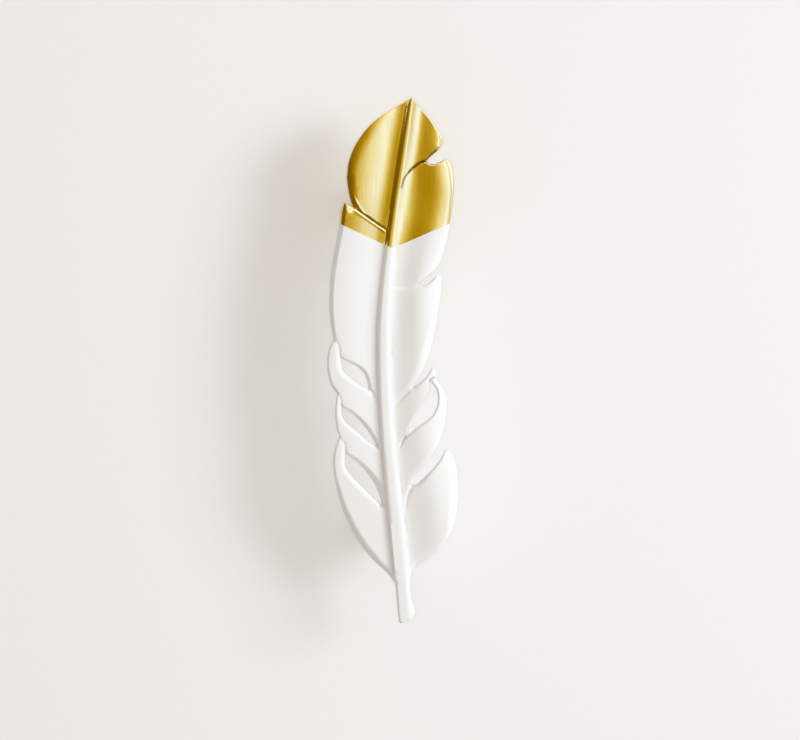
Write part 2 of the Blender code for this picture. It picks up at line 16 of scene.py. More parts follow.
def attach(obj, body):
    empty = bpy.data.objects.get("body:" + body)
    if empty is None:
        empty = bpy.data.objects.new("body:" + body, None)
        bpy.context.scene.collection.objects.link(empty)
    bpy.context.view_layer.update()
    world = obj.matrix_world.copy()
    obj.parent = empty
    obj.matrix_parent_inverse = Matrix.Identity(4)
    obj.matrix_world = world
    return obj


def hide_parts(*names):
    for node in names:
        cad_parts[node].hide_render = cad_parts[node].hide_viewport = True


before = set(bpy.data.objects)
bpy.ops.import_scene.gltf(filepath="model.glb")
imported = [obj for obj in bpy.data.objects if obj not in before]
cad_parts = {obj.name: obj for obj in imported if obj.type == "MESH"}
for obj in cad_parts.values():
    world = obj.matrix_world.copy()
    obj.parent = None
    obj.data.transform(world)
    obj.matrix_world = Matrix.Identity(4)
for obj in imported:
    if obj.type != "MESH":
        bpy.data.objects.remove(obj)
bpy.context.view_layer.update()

# %% [markdown]
# ## The drawing
# A feather's edges are free curves, so they are drawn, and not built from primitives. The drawing's unit is
# a millimetre on the real handle. Beside its points, each edge says what the surface does there: how wide
# the band is that falls towards it, how far it falls, and whether it falls straight (1) or in a curve (2).

# %% Sizes of the feather
MM = 0.001
SHAFT_TOP = 0.0261
SHAFT_HEIGHT = 0.00138
BODY_THICKNESS = 0.0036
ARCH = 0.0020
BACK_RADIUS = 0.0007
# In the drawing's millimetres: half the length, the width of the back's round edge, and of the front's.
HALF_LENGTH = 75.0
BACK_BAND = 1.6
EDGE_ROUND = 0.35
# How deep the front's edge is rounded, as a share of its width.
ROUND_DEPTH = 0.9
print("shaft's top at", 1000 * SHAFT_TOP, "mm, ends bowed down by", 1000 * ARCH, "mm")

# %% The outline, clockwise from the tip: widths along the edge, falls along the edge, curve, points
OUTLINE = (
    ((0.4, 0.4, 0.5, 0.8, 1.7), (0.08, 0.08, 0.1, 0.2, 0.55), 1.8,
     ((5.6, 75.0), (7.8, 72.3), (10.7, 68.9), (13.1, 65.6), (14.3, 63.4), (14.5, 61.8))),
    ((0.8, 0.6), (0.55, 0.5), 1.3,
     ((14.5, 61.8), (13.5, 60.3), (12.0, 59.0), (10.7, 57.9), (9.7, 56.7))),
    ((0.35, 0.35), (0.25, 0.25), 1.0,
     ((9.7, 56.7), (10.5, 55.9), (12.1, 55.8), (13.8, 56.5), (15.2, 57.2), (16.3, 57.0))),
    ((1.4, 1.4, 1.6, 2.2), (0.4, 0.4, 0.4, 0.6), 1.8,
     ((16.3, 57.0), (17.1, 54.7), (17.5, 50.7), (17.3, 46.1), (16.6, 40.7), (15.5, 34.8),
      (14.0, 29.4), (12.2, 26.0), (9.8, 23.6), (6.9, 21.2))),
    ((1.5, 0.8, 0.3), (0.5, 0.4, 0.2), 1.0,
     ((6.9, 21.2), (8.8, 21.2), (10.8, 22.3), (12.2, 23.7), (13.2, 24.4))),
    ((1.4, 1.4, 2.6, 2.0), (0.4, 0.4, 0.8, 0.7), 1.8,
     ((13.2, 24.4), (13.8, 23.1), (13.7, 19.4), (12.8, 13.7), (11.8, 7.7), (10.5, 1.9),
      (8.5, -3.1), (5.8, -7.6))),
    ((0.9, 0.5, 0.4), (0.5, 0.3, 0.3), 1.0,
     ((5.8, -7.6), (7.3, -6.8), (9.0, -5.4), (10.3, -3.8), (11.1, -2.4), (11.8, -2.1))),
    ((0.5, 0.5), (0.3, 0.3), 1.0,
     ((11.8, -2.1), (12.3, -2.9), (12.5, -5.4))),
    ((1.0, 1.3, 1.4, 1.4), (0.28, 0.28, 0.28, 0.32), 1.7,
     ((12.5, -5.4), (14.4, -8.6), (15.4, -12.5), (15.0, -16.7), (13.8, -21.8),
      (11.7, -26.3), (8.7, -30.0), (6.3, -33.2), (5.5, -35.8))),
    ((1.2, 0.4, 0.3), (0.6, 0.25, 0.2), 1.0,
     ((5.5, -35.8), (7.1, -35.2), (9.3, -33.2), (11.5, -31.0), (13.5, -28.5),
      (14.7, -26.4), (15.7, -25.5))),
    ((1.5, 2.3, 2.6, 2.2, 0.9), (0.44, 0.62, 0.66, 0.56, 0.32), 1.45,
     ((15.7, -25.5), (17.1, -27.1), (18.1, -30.4), (18.6, -36.6), (18.3, -42.0),
      (17.3, -47.2), (15.4, -51.1))),
    ((1.0, 2.4, 2.0, 0.7), (0.45, 0.7, 0.7, 0.5), 1.8,
     ((15.4, -51.1), (12.5, -54.6), (9.3, -57.1), (6.6, -58.8), (5.4, -60.4), (5.0, -62.5))),
    ((0.6, 0.6), (0.45, 0.45), 1.2,
     ((5.0, -62.5), (4.9, -65.1), (5.3, -68.2), (6.1, -70.6), (6.3, -72.1), (5.6, -73.6),
      (3.7, -74.6), (2.5, -75.0), (1.9, -74.5), (1.5, -71.9), (1.2, -68.2),
      (1.0, -65.4), (0.6, -63.7))),
    ((1.2, 2.0, 1.7, 0.8, 0.5), (1.05, 1.6, 1.35, 0.62, 0.4), 1.6,
     ((0.6, -63.7), (-1.1, -61.2), (-4.7, -57.8), (-8.0, -54.1), (-10.9, -49.6),
      (-13.4, -44.5), (-15.2, -39.1), (-16.3, -34.2), (-16.9, -29.8), (-16.5, -25.7),
      (-15.1, -21.8))),
    ((0.45, 0.4), (0.35, 0.3), 1.0,
     ((-15.1, -21.8), (-15.9, -19.0), (-16.3, -15.0), (-16.1, -11.9), (-15.7, -9.6))),
    ((0.7, 0.55, 0.45), (0.6, 0.45, 0.35), 1.0,
     ((-15.7, -9.6), (-17.3, -7.3), (-18.3, -4.2), (-18.6, -0.5), (-18.1, 3.0),
      (-16.8, 5.7))),
    ((1.0, 1.25, 1.35, 1.5), (0.85, 1.05, 1.1, 1.1), 1.15,
     ((-16.8, 5.7), (-17.6, 10.6), (-18.0, 16.0), (-17.7, 22.8), (-16.7, 30.2),
      (-15.3, 37.6), (-14.8, 41.9), (-14.1, 45.1))),
    ((0.5, 0.5), (0.35, 0.35), 1.0,
     ((-14.1, 45.1), (-12.8, 44.4), (-11.5, 43.7))),
    ((2.0, 2.4, 2.8), (0.8, 0.95, 1.0), 1.6,
     ((-11.5, 43.7), (-12.6, 47.6), (-13.2, 52.1))),
    ((2.8, 3.4, 3.6, 3.0, 1.8, 0.8), (1.0, 1.05, 0.9, 0.65, 0.4, 0.25), 2.2,
     ((-13.2, 52.1), (-12.6, 56.7), (-10.7, 61.4), (-7.4, 66.1), (-3.5, 69.5), (1.0, 72.3),
      (5.6, 75.0))),
)

# %% The openings between barbs, each one the lower edge of a barb and the upper edge of the next
OPENINGS = (
    (((0.5, 0.7, 1.0, 0.9), (0.12, 0.5, 0.85, 0.8), 1.1,
      ((-14.7, 0.7), (-12.1, -0.6), (-9.5, -2.2), (-7.7, -4.6), (-6.7, -8.4))),
     ((1.0, 1.4, 1.5, 1.3), (0.36, 0.46, 0.46, 0.41), 1.6,
      ((-6.7, -8.4), (-9.7, -6.7), (-12.6, -4.6), (-14.4, -2.5), (-14.7, 0.7)))),
    (((0.5, 0.8, 1.15, 0.9), (0.15, 0.6, 1.0, 0.8), 1.1,
      ((-14.5, -13.1), (-11.5, -15.0), (-8.5, -18.1), (-6.1, -21.6), (-4.4, -24.5))),
     ((0.9, 1.1, 1.3, 1.1, 1.0), (0.33, 0.39, 0.43, 0.38, 0.34), 1.6,
      ((-4.4, -24.5), (-7.0, -23.0), (-10.4, -20.1), (-13.2, -17.8), (-14.5, -15.6),
       (-14.5, -13.1)))),
    (((0.6, 1.2, 1.8, 1.3), (0.2, 0.9, 1.4, 1.1), 1.1,
      ((-13.4, -26.5), (-10.4, -28.7), (-7.4, -31.9), (-4.8, -35.9), (-2.8, -41.4))),
     ((1.0, 1.35, 1.45, 1.35, 1.2), (0.37, 0.45, 0.47, 0.45, 0.42), 1.6,
      ((-2.8, -41.4), (-5.5, -39.2), (-8.9, -35.9), (-12.1, -32.5), (-13.6, -29.8),
       (-13.4, -26.5)))),
    (((0.4, 0.4), (1.2, 1.2), 1.0,
      ((10.6, -5.5), (10.5, -8.9), (8.3, -12.7), (5.4, -17.3), (3.6, -22.0))),
     ((0.5, 0.45, 0.5), (0.35, 0.3, 0.4), 1.0,
      ((3.6, -22.0), (7.4, -18.9), (11.1, -16.2), (12.8, -12.7), (12.7, -8.9),
       (10.6, -5.5)))),
)

# %% The grooves where one barb meets the next: the band on their left, the band on their right, points
GROOVES = (
    (((0.3, 0.6, 0.5), (0.2, 0.3, 0.12), 1.0), ((0.4, 0.45), (0.3, 0.28), 1.0),
     ((-11.5, 43.7), (-8.4, 41.5), (-5.0, 39.1), (-2.0, 37.2))),
    (((0.5, 0.5), (0.05, 0.12), 1.3), ((1.3, 1.5), (0.15, 0.45), 1.5),
     ((-16.8, 5.7), (-15.6, 5.3), (-14.9, 3.5), (-14.7, 0.7))),
    (((0.9, 0.5), (0.8, 0.1), 1.1), ((1.3, 0.8), (0.41, 0.1), 1.5),
     ((-6.7, -8.4), (-5.4, -10.0), (-4.6, -12.0))),
    (((0.5, 0.5), (0.05, 0.12), 1.2), ((1.1, 1.3), (0.15, 0.42), 1.5),
     ((-15.7, -9.6), (-14.5, -11.0), (-14.5, -13.1))),
    (((0.8, 0.4), (0.7, 0.2), 1.1), ((1.0, 0.6), (0.34, 0.15), 1.6),
     ((-4.4, -24.5), (-3.7, -25.8))),
    (((0.5, 0.6), (0.05, 0.15), 1.2), ((1.2, 1.5), (0.15, 0.45), 1.5),
     ((-15.1, -21.8), (-13.8, -23.0), (-13.2, -24.7), (-13.4, -26.5))),
    (((1.0, 0.5), (0.9, 0.2), 1.1), ((1.2, 0.6), (0.42, 0.15), 1.6),
     ((-2.8, -41.4), (-2.2, -43.0))),
    (((0.5, 0.6, 0.6), (0.2, 0.45, 0.45), 1.1), ((0.3, 0.35, 0.35), (0.15, 0.3, 0.35), 1.0),
     ((2.9, 50.3), (3.7, 52.2), (5.1, 53.9), (7.4, 55.8), (9.7, 56.7))),
    (((1.0, 2.5, 2.5), (0.0, 0.3, 0.5), 1.0), ((1.2, 1.5), (0.05, 0.35, 0.5), 1.0),
     ((0.4, 21.6), (2.0, 20.9), (4.4, 20.8), (6.9, 21.2))),
    (((1.2, 1.2), (0.0, 0.25, 0.35), 1.0), ((0.9, 0.9), (0.1, 0.4, 0.45), 1.0),
     ((0.3, -13.0), (3.0, -10.2), (5.8, -7.6))),
    (((0.5, 0.5), (0.9, 1.3), 1.0), ((0.5, 0.4), (0.9, 1.3), 1.0),
     ((12.5, -5.4), (11.5, -5.1), (10.6, -5.5))),
    (((0.5, 0.5), (1.2, 0.2), 1.0), ((0.5, 0.5), (1.2, 0.2), 1.0),
     ((3.6, -22.0), (2.0, -24.7))),
    (((0.9, 0.9, 1.2), (0.0, 0.25, 0.5), 1.3), ((0.6, 0.9), (0.0, 0.15, 0.35), 1.0),
     ((3.7, -43.5), (4.3, -39.1), (5.5, -35.8))),
)

# %% The raised lines: width, height along the line, points
RIDGES = (
    (0.5, (0.0, 0.14, 0.14, 0.05), ((-11.5, 48.7), (-11.0, 46.8), (-9.8, 44.2), (-7.8, 41.3))),
    (0.5, (0.03, 0.08, 0.08, 0.08),
     ((-12.6, 43.6), (-9.9, 41.85), (-6.6, 39.6), (-3.2, 37.3), (-2.3, 36.7))),
)
RIDGE_CURVE = 1.3

# %% [markdown]
# ## The relief
# The shaft runs down the feather as four lines: the foot and the top of its steep left flank, the far edge
# of its flat top, and the foot of its right slope. Left and right of it the vanes rise and fall with the
# distance from those lines, so a few heights along one cut describe the whole surface.

# %% The shaft's lines at stations along Y, and the heights across
SHAFT = (
    (76.0, 4.6, 5.6, 6.0, 7.2),
    (60.0, 1.8, 3.15, 3.9, 5.8),
    (43.0, -0.7, 0.5, 1.25, 3.2),
    (26.0, -3.1, -1.9, -0.8, 1.0),
    (9.0, -4.6, -3.3, -1.7, 0.1),
    (-8.0, -4.4, -3.2, -1.4, 0.1),
    (-26.0, -3.2, -2.2, -0.2, 1.4),
    (-43.0, -1.7, -0.8, 1.8, 3.5),
    (-60.0, 0.0, 0.8, 3.6, 5.1),
    (-76.0, 1.2, 2.0, 4.9, 6.2),
)
FOOT, TOP_LEFT, TOP_RIGHT, SLOPE_END = 1, 2, 3, 4
# The flank rises steeply from the foot and rounds off into the flat top.
FLANK_CURVE = 1.5
LEAST_FLANK = 0.05
# The crease beside the foot, which nearly fades between the two places along Y.
CREASE_DEPTH = 0.00022
CREASE_WIDTH = 0.35
TIP_CREASE = 0.85
CREASE_ENDS = (34.5, 31.0)
# Above the first place along Y the shaft has the tip's foot and slope, below the second the rest's.
TIP_ENDS = (48.0, 30.0)
# Shares of the shaft's height by the distance left of its foot, and right of its flat top.
FOOT_TIP = ((0.0, 0.32), (1.0, 0.21), (2.4, 0.14), (9.0, 0.14), (20.0, 0.14))
FOOT_REST = ((0.0, 0.02), (0.3, 0.005), (0.8, 0.0), (9.0, 0.0), (20.0, 0.0))
SLOPE_TIP = ((0.0, 1.0), (1.2, 0.62), (2.2, 0.40), (3.2, 0.31), (4.2, 0.30), (20.0, 0.30))
SLOPE_REST = ((0.0, 1.0), (0.7, 0.84), (1.4, 0.68), (2.1, 0.60), (2.8, 0.58), (20.0, 0.58))
# The vanes at stations along Y: how far from the shaft their valley ends, how far their crest is, and
# how high it is, first left of the shaft's foot and then right of its flat top.
VANES = (
    (76.0, 2.4, 8.0, 0.40, 2.2, 6.6, 0.40),
    (66.0, 2.8, 9.0, 0.65, 2.6, 8.0, 0.55),
    (56.0, 2.8, 10.0, 0.80, 2.8, 10.0, 0.90),
    (44.0, 2.8, 10.0, 0.85, 3.8, 12.2, 1.10),
    (28.0, 2.2, 10.0, 0.85, 2.9, 10.2, 1.38),
    (17.0, 2.0, 10.0, 0.85, 2.5, 9.8, 1.40),
    (5.0, 1.8, 9.6, 0.80, 2.5, 9.8, 1.32),
    (-9.0, 1.5, 9.5, 0.70, 1.5, 9.4, 1.20),
    (-22.0, 1.5, 9.5, 0.55, 1.0, 9.6, 1.35),
    (-34.0, 1.5, 9.5, 0.35, 1.2, 10.4, 1.30),
    (-44.0, 1.5, 9.5, 0.20, 1.5, 11.0, 1.35),
    (-58.0, 1.5, 9.5, 0.15, 1.6, 11.0, 1.00),
    (-76.0, 1.5, 9.5, 0.15, 1.8, 11.0, 0.60),
)
LEFT_VANE, RIGHT_VANE = 1, 4
# A vane's rise is steepest near the shaft with a small skew, and in its middle with a skew of 1.
LEFT_SKEW = 0.25
RIGHT_SKEW = 1.0
# How much less than at its crest a vane bends beyond it.
PAST_CREST = 0.6
print("stations of the shaft:", len(SHAFT), "and of the vanes:", len(VANES))


# %% [markdown]
# ## From points to curves
# A few points on each edge are enough when a smooth curve runs through them. The same curve reads the
# tables above at any place along the shaft, so the relief changes as smoothly as the outline does.

# %% Curves through points
def curve_points(points, per_span=12):
    """A smooth curve through the points, as many short straight steps."""
    line = [np.array(point, dtype=float) for point in points]
    line = [2.0 * line[0] - line[1]] + line + [2.0 * line[-1] - line[-2]]
    steps = []
    for i in range(1, len(line) - 2):
        before, start, end, after = line[i - 1:i + 3]
        for k in range(per_span):
            t = k / per_span
            steps.append(0.5 * (2.0 * start + (end - before) * t
                                + (2.0 * before - 5.0 * start + 4.0 * end - after) * t ** 2
                                + (3.0 * start - before - 3.0 * end + after) * t ** 3))
    steps.append(line[-2])
    return np.array(steps)


def even_steps(line, step):
    """The same line in even steps, its two ends kept."""
    run = np.concatenate(([0.0], np.cumsum(np.hypot(*np.diff(line, axis=0).T))))
    count = max(2, int(round(run[-1] / step)))
    marks = np.linspace(0.0, run[-1], count + 1)
    return np.column_stack((np.interp(marks, run, line[:, 0]), np.interp(marks, run, line[:, 1])))


def table(stations, values):
    """A smooth curve through (station, value) pairs, read at any stations."""
    line = curve_points(stations, 24)
    order = np.argsort(line[:, 0])
    return np.interp(values, line[order, 0], line[order, 1])


def along_edge(values, share):
    """A value given at even places along an edge, read at any share of its length."""
    return np.interp(share, np.linspace(0.0, 1.0, len(values)), values)


def smooth(low, high, values):
    """0 below low, 1 above high, and a smooth step between them."""
    t = np.clip((values - low) / (high - low), 0.0, 1.0)
    return t * t * (3.0 - 2.0 * t)


def shaft_line(column, y):
    """Where one line of the shaft runs, at any stations along Y."""
    return table([(row[0], row[column]) for row in SHAFT], y)


def crown(out, y, first, skew):
    """Height of a vane by the distance from the shaft, in millimetres."""
    valley, crest, rise = (table([(row[0], row[first + k]) for row in VANES], y) for k in range(3))
    span = crest - valley
    t = np.clip((out - valley) / span, 0.0, 1.0)
    climb = (skew + 2.0) * t ** (skew + 1.0) - (skew + 1.0) * t ** (skew + 2.0)
    bend = PAST_CREST * (skew + 1.0) * (skew + 2.0) / span ** 2
    past = np.clip(out - crest, 0.0, None)
    return rise * (climb - 0.5 * bend * past ** 2)


# %% [markdown]
# ## Heights from distances
# Whoever carves the pattern for such a casting rounds its rims, and cuts away more the nearer the edge is.
# The functions below find that distance, and the drawing turns it into a height.

# %% Distances and insides
# A step shorter than this counts as this long, so that nothing is divided by zero.
LEAST_LENGTH = 1e-9


def closest(line, points):
    """How far each point is from a line, at which share of its length, and whether it is left of it."""
    start = line[:-1]
    span = line[1:] - start
    length = np.maximum(np.hypot(span[:, 0], span[:, 1]), LEAST_LENGTH)
    run = np.concatenate(([0.0], np.cumsum(length)))
    best = np.full(len(points), np.inf)
    along = np.zeros(len(points))
    left = np.zeros(len(points), dtype=bool)
    for i in range(len(span)):
        reach = points - start[i]
        t = np.clip((reach @ span[i]) / length[i] ** 2, 0.0, 1.0)
        away = np.hypot(*(reach - t[:, None] * span[i]).T)
        nearer = away < best
        best[nearer] = away[nearer]
        along[nearer] = (run[i] + t[nearer] * length[i]) / run[-1]
        left[nearer] = (span[i][0] * reach[:, 1] - span[i][1] * reach[:, 0])[nearer] > 0.0
    return best, along, left


def inside(loop, points):
    """Which points lie inside a closed loop."""
    odd = np.zeros(len(points), dtype=bool)
    x, y = points[:, 0], points[:, 1]
    for (x1, y1), (x2, y2) in zip(loop, np.roll(loop, -1, axis=0)):
        if y1 == y2:
            continue
        odd ^= ((y1 > y) != (y2 > y)) & (x < (x2 - x1) * (y - y1) / (y2 - y1) + x1)
    return odd


# %% The drawing as lines, and the height of the surface at any place
# No place on the feather is as far from an edge as this, and no point farther from a line than its band and
# this margin is measured.
FAR = 9.0
MARGIN = 0.6
# Grooves and openings fade out where they reach the shaft: over these widths at its foot, and from this far
# right of its flat top.
FADE_LEFT = (0.5, 0.4)
FADE_RIGHT = 0.3


class Drawing:
    """The feather's plan: its edges as lines of points, and its surface's height at any place."""

    def __init__(self, step):
        self.edges = []
        self.outline = []
        for widths, falls, curve, points in OUTLINE:
            band = (widths, falls, curve)
            self.outline.extend(self.add(band, band, points, step, False)[:-1])
        self.outline = np.array(self.outline)
        self.openings = []
        for sides in OPENINGS:
            loop = []
            for widths, falls, curve, points in sides:
                band = (widths, falls, curve)
                loop.extend(self.add(band, band, points, step, True)[:-1])
            self.openings.append(np.array(loop))
        self.free = len(self.edges)
        for left, right, points in GROOVES:
            self.add(left, right, points, step, True)
        self.sunk = len(self.edges)
        for width, rises, points in RIDGES:
            band = ((width, width), rises, RIDGE_CURVE)
            self.add(band, band, points, step, True)

    def add(self, left, right, points, step, faded):
        line = even_steps(curve_points(points), step)
        self.edges.append((line, left, right, faded))
        return line

    def material(self, points):
        """Which points lie on the feather and not in an opening."""
        within = inside(self.outline, points)
        for loop in self.openings:
            within &= ~inside(loop, points)
        return within

    def rims(self, points):
        """Distance of each point from its nearest edge, and how far the surface has fallen there."""
        nearest = np.full(len(points), FAR)
        fall = np.zeros(len(points))
        rise = np.zeros(len(points))
        free = np.full(len(points), FAR)
        x, y = points[:, 0], points[:, 1]
        foot, top_r, slope = (shaft_line(k, y) for k in (FOOT, TOP_RIGHT, SLOPE_END))
        clear = 1.0 - smooth(foot - FADE_LEFT[0], foot + FADE_LEFT[1], x)
        clear = clear + smooth(top_r + FADE_RIGHT, slope, x)
        for k, (line, on_left, on_right, faded) in enumerate(self.edges):
            reach = MARGIN + max(on_left[0] + on_right[0])
            near = np.nonzero(np.all((points > line.min(axis=0) - reach)
                                     & (points < line.max(axis=0) + reach), axis=1))[0]
            if not len(near):
                continue
            away, along, left = closest(line, points[near])
            width, deep, curve = (np.where(left, a, b) for a, b in (
                (along_edge(on_left[0], along), along_edge(on_right[0], along)),
                (along_edge(on_left[1], along), along_edge(on_right[1], along)),
                (on_left[2], on_right[2])))
            drop = deep * np.clip(1.0 - away / width, 0.0, 1.0) ** curve
            if faded:
                drop *= clear[near]
            nearest[near] = np.minimum(nearest[near], away)
            if k < self.sunk:
                fall[near] = np.maximum(fall[near], drop)
            else:
                rise[near] = np.maximum(rise[near], drop)
            if k < self.free:
                free[near] = np.minimum(free[near], away)
        share = np.clip(1.0 - free / EDGE_ROUND, 0.0, 1.0)
        fall = fall - rise + EDGE_ROUND * (1.0 - np.sqrt(1.0 - share ** 2)) * ROUND_DEPTH
        return nearest, fall

    def front(self, points):
        """Height of the front surface, in metres."""
        x, y = points[:, 0], points[:, 1]
        foot, top_l, top_r = (shaft_line(k, y) for k in (FOOT, TOP_LEFT, TOP_RIGHT))
        tip = smooth(TIP_ENDS[1], TIP_ENDS[0], y)
        out = foot - x
        left = SHAFT_HEIGHT * (table(FOOT_TIP, out) * tip + table(FOOT_REST, out) * (1.0 - tip))
        left = left + MM * crown(out, y, LEFT_VANE, LEFT_SKEW)
        low = FOOT_TIP[0][1] * tip + FOOT_REST[0][1] * (1.0 - tip)
        share = np.clip((x - foot) / np.maximum(top_l - foot, LEAST_FLANK), 0.0, 1.0)
        share = 1.0 - (1.0 - share) ** FLANK_CURVE
        height = np.where(x < foot, left, SHAFT_HEIGHT * (low + (1.0 - low) * share))
        crease = CREASE_DEPTH * (1.0 - TIP_CREASE * smooth(CREASE_ENDS[1], CREASE_ENDS[0], y))
        height = height - crease * np.clip(1.0 - np.abs(x - foot) / CREASE_WIDTH, 0.0, 1.0)
        out = x - top_r
        right = SHAFT_HEIGHT * (table(SLOPE_TIP, out) * tip + table(SLOPE_REST, out) * (1.0 - tip))
        right = right + MM * crown(out, y, RIGHT_VANE, RIGHT_SKEW)
        height = np.where(x > top_r, right, height)
        return SHAFT_TOP - SHAFT_HEIGHT + height - MM * self.rims(points)[1] - self.bow(y)

    def back(self, points):
        """Height of the plain back, its edge rounded towards the front, in metres."""
        away = np.full(len(points), FAR)
        for loop in [self.outline] + self.openings:
            away = np.minimum(away, closest(np.vstack((loop, loop[:1])), points)[0])
        lift = BACK_RADIUS * (1.0 - smooth(0.0, BACK_BAND, away))
        return SHAFT_TOP - SHAFT_HEIGHT - BODY_THICKNESS + lift - self.bow(points[:, 1])

    @staticmethod
    def bow(y):
        """How much lower the feather lies towards its ends, in metres."""
        return ARCH * (y / HALF_LENGTH) ** 2


EDGE_STEP = 0.5
FIELD_STEP = 0.75
drawing = Drawing(EDGE_STEP)
print("edges:", len(drawing.edges), "points on the outline:", len(drawing.outline))


# %% [markdown]
# ## A net that follows the lines
# The surface is cut into triangles in plan. Its points lie in rows along every edge, along the shaft and on
# the line between gold and white, so that no triangle crosses a line where the surface bends or its finish
# changes. Points that would crowd each other are left out.

# %% Points that keep apart
class Spread:
    """Points kept at least some distance apart, found again by the square they lie in."""

    def __init__(self, cell):
        self.cell = cell
        self.points = []
        self.squares = {}

    def square(self, point):
        return int(math.floor(point[0] / self.cell)), int(math.floor(point[1] / self.cell))

    def add(self, point, gap):
        i, j = self.square(point)
        for a in (i - 1, i, i + 1):
            for b in (j - 1, j, j + 1):
                for k in self.squares.get((a, b), ()):
                    other = self.points[k]
                    if math.hypot(other[0] - point[0], other[1] - point[1]) < gap:
                        return k
        self.squares.setdefault((i, j), []).append(len(self.points))
        self.points.append((float(point[0]), float(point[1])))
        return len(self.points) - 1


# %% The line between gold and white, a shallow V
PAINT_APEX = (0.0, 31.8)
PAINT_LEFT = -0.467
PAINT_RIGHT = 0.427
PAINT_REACH = 20.0
PAINT_LINE = (((-PAINT_REACH, PAINT_APEX[1] - PAINT_REACH * PAINT_LEFT), PAINT_APEX),
              (PAINT_APEX, (PAINT_REACH, PAINT_APEX[1] + PAINT_REACH * PAINT_RIGHT)))
print("the paint line's lowest point is at y =", PAINT_APEX[1], "mm")


# %% Rows of points along the edges
# Where the rows lie, as shares of a band's width, and as shares of the rounded edge. One more lies past it.
BAND_ROWS = (0.2, 0.4, 0.6, 0.8, 1.0)
ROUND_ROWS = (0.1, 0.35, 0.7)
PAST_BAND = 0.25
# A point that comes nearer to another edge than to its own by more than this is left out.
ROW_SLACK = 0.03


def rim_points(drawing):
    """Rows of points along every edge, closer together near it."""
    found = []
    offsets = []
    for k, (line, on_left, on_right, _) in enumerate(drawing.edges):
        tangent = np.gradient(line, axis=0)
        tangent /= np.maximum(np.hypot(tangent[:, 0], tangent[:, 1]), LEAST_LENGTH)[:, None]
        normal = np.column_stack((-tangent[:, 1], tangent[:, 0]))
        share = np.linspace(0.0, 1.0, len(line))
        for side, band in ((1.0, on_left), (-1.0, on_right)):
            width = along_edge(band[0], share)
            rows = [width * part for part in BAND_ROWS] + [width + PAST_BAND]
            if k < drawing.free:
                rows += [np.full(len(line), EDGE_ROUND * part) for part in ROUND_ROWS]
            for row in rows:
                found.append(line + side * normal * row[:, None])
                offsets.append(row)
    places = np.vstack(found)
    keep = (drawing.rims(places)[0] > np.concatenate(offsets) - ROW_SLACK) & drawing.material(places)
    return places[keep]


# %% Rows of points across the feather
# Beyond the shaft they stand this far apart, out to the feather's half width.
HALF_WIDTH = 19.0
LEFT_STEP = 0.8
RIGHT_STEP = 0.7
# Where they start left of the shaft's foot and right of its slope, and how far the ones near the foot are.
LEFT_START = 2.1
RIGHT_START = 0.6
NEAR_FOOT = (1.5, 1.1, 0.7, CREASE_WIDTH)
# How many there are on flank, flat top and slope, and how far all of them keep from the edges.
FLANK_ROWS, TOP_ROWS, SLOPE_ROWS = 6, 4, 6
FIELD_CLEAR = 0.3


def field_points(drawing):
    """Rows of points between the edges, close where the relief turns, and those of the shaft's lines."""
    places = []
    lines = {FOOT: [], TOP_LEFT: [], TOP_RIGHT: []}
    for y in np.arange(-HALF_LENGTH + 0.5 * FIELD_STEP, HALF_LENGTH, FIELD_STEP):
        foot, top_l, top_r, slope = (float(shaft_line(k, np.array([y]))[0])
                                     for k in (FOOT, TOP_LEFT, TOP_RIGHT, SLOPE_END))
        marks = list(np.arange(foot - LEFT_START, -HALF_WIDTH, -LEFT_STEP))
        marks += [foot - out for out in NEAR_FOOT] + list(np.linspace(foot, top_l, FLANK_ROWS))
        marks += list(np.linspace(top_l, top_r, TOP_ROWS))[1:]
        marks += list(np.linspace(top_r, slope, SLOPE_ROWS))[1:]
        marks += list(np.arange(slope + RIGHT_START, HALF_WIDTH, RIGHT_STEP))
        places += [(x, y) for x in marks]
        for k, x in ((FOOT, foot), (TOP_LEFT, top_l), (TOP_RIGHT, top_r)):
            lines[k].append((x, y))
    places = np.array(places)
    near = drawing.rims(places)[0]
    return places[(near > FIELD_CLEAR) & drawing.material(places)], lines


# %% The net of triangles
# How far points keep apart in each kind of row, and how far the shaft's lines keep from the edges.
EDGE_GAP, PAINT_GAP, SHAFT_GAP, RIM_GAP, FIELD_GAP = 0.002, 0.05, 0.1, 0.06, 0.2
SHAFT_CLEAR = 0.25
SQUARE = 0.3
PAINT_STEP = 0.4
SAME_PLACE = 1e-6


def sheet(drawing):
    """The feather's plan in triangles: their points and their corners."""
    spread = Spread(SQUARE)
    joins = []
    for line, _, _, _ in drawing.edges:
        numbers = [spread.add(point, EDGE_GAP) for point in line]
        joins += [(a, b) for a, b in zip(numbers, numbers[1:]) if a != b]
    for line in PAINT_LINE:
        numbers = [spread.add(point, PAINT_GAP) for point in even_steps(np.array(line), PAINT_STEP)]
        joins += [(a, b) for a, b in zip(numbers, numbers[1:]) if a != b]
    places, lines = field_points(drawing)
    for line in lines.values():
        line = np.array(line)
        kept = (drawing.rims(line)[0] > SHAFT_CLEAR) & drawing.material(line)
        numbers = [spread.add(point, SHAFT_GAP) if use else None for point, use in zip(line, kept)]
        joins += [(a, b) for a, b in zip(numbers, numbers[1:]) if None not in (a, b) and a != b]
    for point in rim_points(drawing):
        spread.add(point, RIM_GAP)
    for point in places:
        spread.add(point, FIELD_GAP)
    out = delaunay_2d_cdt(spread.points, joins, [], 0, SAME_PLACE)
    flat = np.array([tuple(point) for point in out[0]])
    faces = np.array(out[2])
    kept = faces[drawing.material(flat[faces].mean(axis=1))]
    used = np.unique(kept)
    renumber = np.zeros(len(flat), dtype=int)
    renumber[used] = np.arange(len(used))
    return flat[used], renumber[kept]


